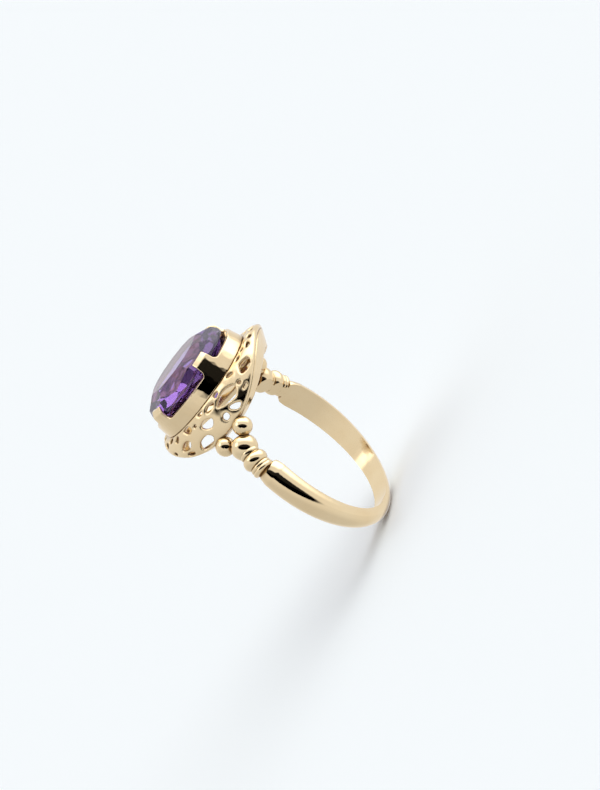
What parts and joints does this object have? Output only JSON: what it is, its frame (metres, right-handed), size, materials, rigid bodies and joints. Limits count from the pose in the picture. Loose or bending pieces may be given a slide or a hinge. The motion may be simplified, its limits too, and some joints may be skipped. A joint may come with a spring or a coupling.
{
  "type": "cocktail ring",
  "caption": "Yellow gold finger ring: an oval faceted purple stone in a clawed collet on a pierced saddle gallery, beaded shoulders and a half-round band.",
  "frame": {"origin": "centre of the finger hole", "axes": "Y along the finger, +Z out of the finger through the middle of the stone's table, X from shoulder to shoulder"},
  "size_m": [0.02, 0.0146, 0.0247],
  "materials": {
    "gold": "polished yellow gold",
    "gold_pierced": "cast and polished yellow gold, a little softer in the piercings",
    "gold_inner": "bright-cut yellow gold inside the setting",
    "amethyst": "faceted and polished purple quartz"
  },
  "bodies": {
    "root": {"amethyst": "amethyst", "ball_left_back": "gold", "ball_left_front": "gold", "ball_right_back": "gold", "ball_right_front": "gold", "barrel_bead_left": "gold", "barrel_bead_right": "gold", "bearing": "gold_inner", "bezel": "gold", "disc_bead_left": "gold", "disc_bead_right": "gold", "gallery": "gold_pierced", "lower_collar_left": "gold", "lower_collar_right": "gold", "neck_collar_left": "gold", "neck_collar_right": "gold", "shank": "gold", "under_rail": "gold_pierced", "upper_collar_left": "gold", "upper_collar_right": "gold"}
  },
  "joints": []
}
